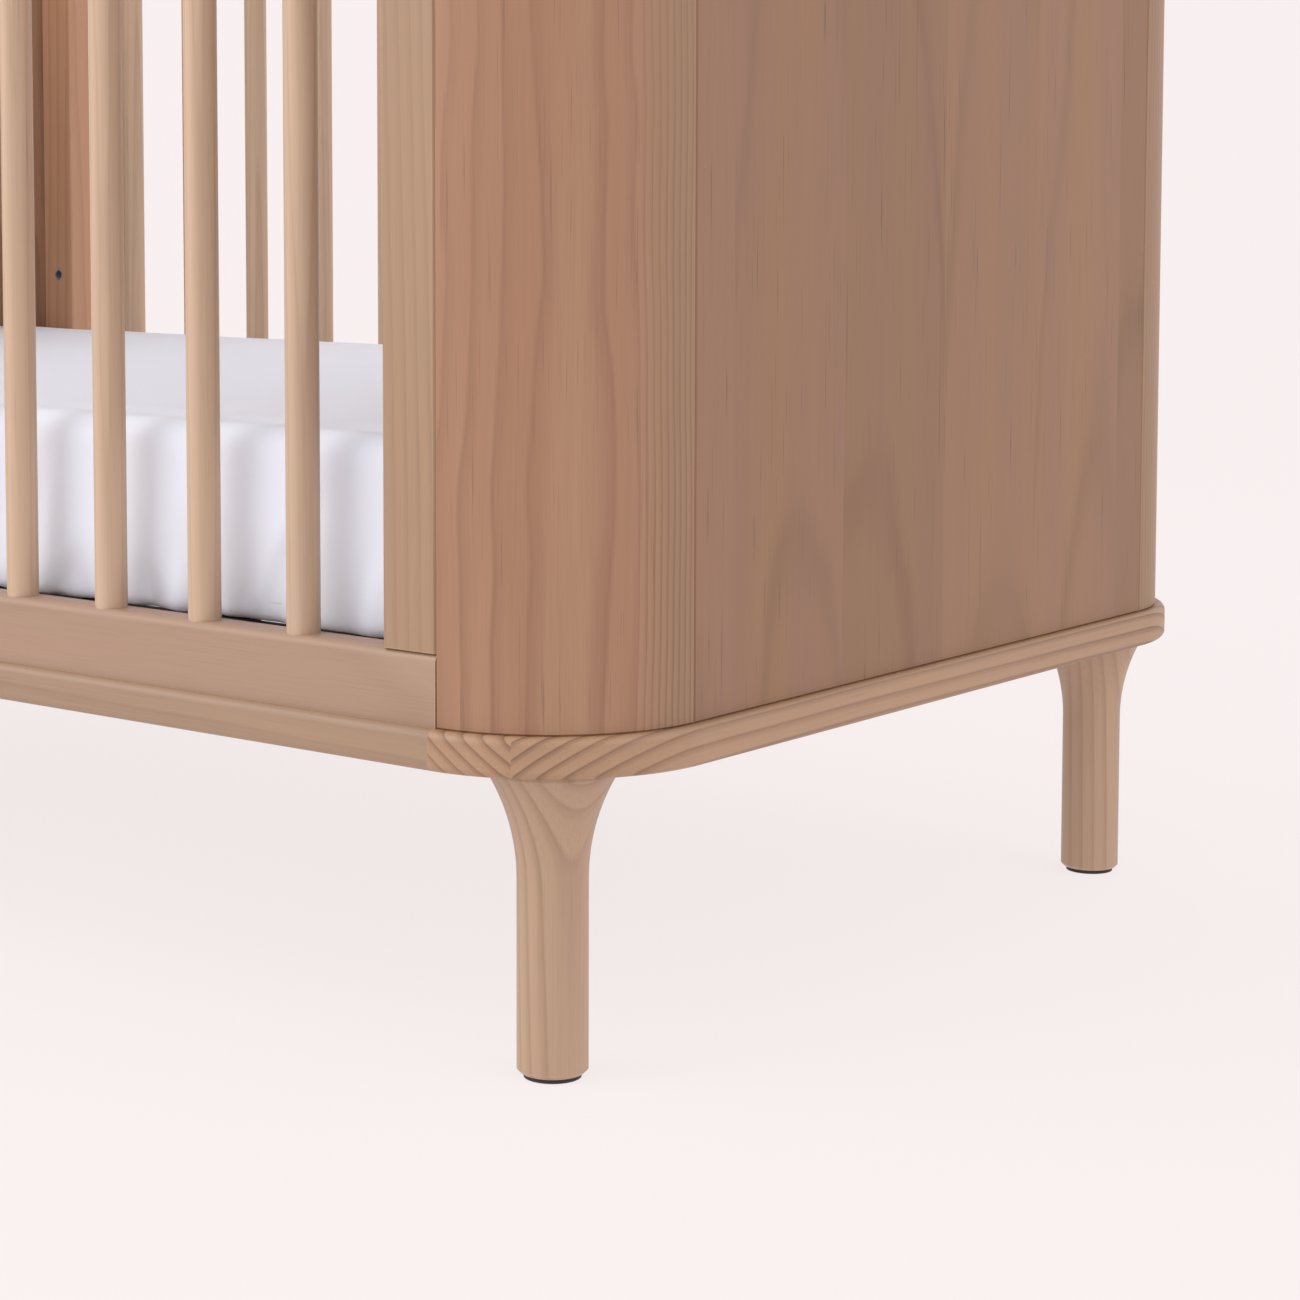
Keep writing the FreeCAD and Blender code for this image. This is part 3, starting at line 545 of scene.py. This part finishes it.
def fitted_sheet(core):
    """Cotton fitted sheet: flat on top, gathered by its elastic under the mattress."""
    half = (cover_high.x - 0.0038, cover_high.y - 0.0035)
    low, high = cover_low.z + 0.001, cover_high.z - 0.0008
    corner, hem = 0.068, 0.056
    long_count, short_count = 210, 110
    around = 2 * (long_count + short_count)
    profile = slab_profile(low, high, 0.016, 0.009, hem, step=0.0078, top_inset=0.024)

    # Each fold: start and lean in ring points, width, share of the height it climbs, depth.
    rng = random.Random(7)
    folds = []
    for _ in range(190):
        reach = rng.choice((0.3, 0.5, 0.8, 1.1))
        folds.append((rng.uniform(0, around), rng.gauss(0, 8) * (0.5 + reach),
                      rng.uniform(1.1, 2.0), reach,
                      rng.uniform(0.002, 0.005) * rng.choice((1, -1, -1))))
    deepest, proudest = 0.0042, 0.003

    def outward(x, y):
        over_x, over_y = abs(x) - half[0] + corner, abs(y) - half[1] + corner
        if over_x > 0 and over_y > 0:
            return Vector((math.copysign(over_x, x), math.copysign(over_y, y), 0)).normalized()
        if over_x > over_y:
            return Vector((math.copysign(1, x), 0, 0))
        return Vector((0, math.copysign(1, y), 0))

    def crimp(point, i):
        height = max(0.0, (point.z - low) / (high - low))
        inside = min(half[0] - abs(point.x), half[1] - abs(point.y))
        if height > 0.99 and inside > 0.02:
            roll = noise.noise(Vector((point.x * 5, point.y * 5, 0)))
            soft = noise.noise(Vector((point.x * 2.2, point.y * 4.5, 3)))
            valley = math.exp(-((inside - 0.042 - 0.008 * roll) / 0.013) ** 2)
            return point - Vector((0, 0, valley * (0.0036 + 0.003 * roll) + 0.001 * (soft + 0.5)))
        push = 0.0
        for start, lean, width, reach, depth in folds:
            off = (i - start - lean * height + around / 2) % around - around / 2
            if abs(off) < 4 * width:
                fade = max(0.0, 1 - height / reach)
                push += depth * math.exp(-(off / width) ** 2) * min(1.0, 1.8 * fade)
        push = max(-deepest, min(proudest, push))
        wave = noise.noise(Vector((point.x * 9, point.y * 9, 7))) * 0.0022 * height
        return point + outward(point.x, point.y) * push - Vector((0, 0, abs(wave)))

    mesh_data = slab_mesh("fitted_sheet_cloth", half, corner, profile, long_count, short_count,
                          crimp, False)
    cotton = woven_cotton("sheet_cotton", (0.86, 0.90, 1.0))
    cloth = new_object("fitted_sheet_cloth", mesh_data, cotton)

    # Short cloth simulation: the hem and the flat top are held, the sides are fuller than the foam.
    rest = [v.co.copy() for v in mesh_data.vertices]
    held = cloth.vertex_groups.new(name="held")
    full = cloth.vertex_groups.new(name="full")
    for index, vertex in enumerate(mesh_data.vertices):
        share = max(0.0, (vertex.co.z - low) / (high - low))
        inside = min(half[0] - abs(vertex.co.x), half[1] - abs(vertex.co.y))
        on_top = share > 0.95 and inside > 0.06
        held.add([index], 1.0 if on_top or index < around else 0.0, "REPLACE")
        full.add([index], 1.0 - 0.85 * share, "REPLACE")
    core.modifiers.new("solid", "COLLISION")
    core.collision.thickness_outer = 0.001
    core.collision.cloth_friction = 12.0
    modifier = cloth.modifiers.new("cloth", "CLOTH")
    settings = modifier.settings
    settings.quality = 6
    settings.mass = 0.12
    settings.tension_stiffness = settings.compression_stiffness = 12.0
    settings.shear_stiffness = 6.0
    settings.bending_stiffness = 0.1
    settings.effector_weights.gravity = 0.02
    settings.vertex_group_mass = "held"
    settings.vertex_group_shrink = "full"
    settings.shrink_min = 0.0
    settings.shrink_max = -0.075
    modifier.collision_settings.distance_min = 0.0012
    modifier.collision_settings.collision_quality = 3
    scene = bpy.context.scene
    for step in range(1, 21):
        scene.frame_set(step)
    depsgraph = bpy.context.evaluated_depsgraph_get()
    settled = [v.co.copy() for v in cloth.evaluated_get(depsgraph).data.vertices]
    cloth.modifiers.remove(modifier)
    core.modifiers.remove(core.modifiers["solid"])
    scene.frame_set(1)
    longest, kept = 0.005, 0.4
    for vertex, start, end in zip(mesh_data.vertices, rest, settled):
        move = end - start
        if move.length > longest:
            move *= longest / move.length
        target = start + move * kept
        target.x = max(-cover_high.x + 0.0008, min(cover_high.x - 0.0008, target.x))
        target.y = max(-cover_high.y - 0.002, min(cover_high.y + 0.002, target.y))
        target.z = max(cover_low.z + 0.0006, target.z)
        vertex.co = target
    mesh_data.update()

    smooth = cloth.modifiers.new("smooth", "SUBSURF")
    smooth.levels = smooth.render_levels = 1
    thick = cloth.modifiers.new("thickness", "SOLIDIFY")
    thick.thickness = 0.0009
    thick.offset = -1.0
    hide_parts("fitted_sheet")
    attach(cloth, "mattress")
    return cloth


core = mattress_core()
fitted_sheet(core)


# ---------------------------------------------------------------- floor, light and camera
def stage_floor():
    """A pale floor that sweeps up far behind the crib."""
    front, back, bend, top, half_width = -6.0, 4.0, 3.0, 9.0, 14.0
    profile = [(front, 0.0), (back, 0.0)]
    profile += [(back + bend * math.sin(a), bend - bend * math.cos(a))
                for a in (math.pi / 2 * i / 12 for i in range(1, 13))]
    profile.append((back + bend, top))
    bm = bmesh.new()
    rows = [[bm.verts.new((x, y, z)) for x in (-half_width, half_width)] for y, z in profile]
    for a, b in zip(rows, rows[1:]):
        bm.faces.new((a[0], a[1], b[1], b[0]))
    mesh_data = bpy.data.meshes.new("studio_floor")
    bm.to_mesh(mesh_data)
    bm.free()
    s = Shader("studio_floor")
    s.bsdf.inputs["Base Color"].default_value = (0.12, 0.112, 0.112, 1)
    s.bsdf.inputs["Roughness"].default_value = 0.9
    s.bsdf.inputs["Specular IOR Level"].default_value = 0.0
    s.bsdf.inputs["Emission Color"].default_value = (0.965, 0.89, 0.89, 1)
    s.bsdf.inputs["Emission Strength"].default_value = 0.85
    floor = new_object("studio_floor", mesh_data, s.mat)
    floor.rotation_euler.z = math.radians(38.6)


def area_light(name, at, look_at, size, watts, colour):
    data = bpy.data.lights.new(name, "AREA")
    data.shape, data.size, data.energy, data.color = "DISK", size, watts, colour
    lamp = bpy.data.objects.new(name, data)
    bpy.context.scene.collection.objects.link(lamp)
    lamp.location = at
    lamp.rotation_euler = (Vector(look_at) - Vector(at)).to_track_quat("-Z", "Y").to_euler()


stage_floor()
world = bpy.data.worlds.new("studio")
world.use_nodes = True
background = world.node_tree.nodes["Background"]
background.inputs["Color"].default_value = (0.97, 0.975, 1.0, 1)
background.inputs["Strength"].default_value = 0.96
bpy.context.scene.world = world
bpy.context.scene.view_settings.view_transform = "Standard"
area_light("key", (-2.2, -3.4, 3.2), (0.2, 0.0, 0.4), 4.6, 118, (1.0, 0.98, 0.97))
area_light("side", (3.8, 0.4, 2.4), (0.5, 0.0, 0.4), 2.6, 22, (0.97, 0.98, 1.0))

camera_data = bpy.data.cameras.new("camera")
camera_data.sensor_width = 36
camera_data.lens = 82.274
camera_data.shift_x = 0.0846
camera_data.shift_y = -0.2
camera = bpy.data.objects.new("camera", camera_data)
bpy.context.scene.collection.objects.link(camera)
camera.location = (1.6645, -1.6525, 0.529)
look_down, turn_left = math.radians(4.36), math.radians(38.63)
camera.rotation_euler = (math.pi / 2 - look_down, 0, turn_left)
bpy.context.scene.camera = camera

bpy.context.view_layer.update()
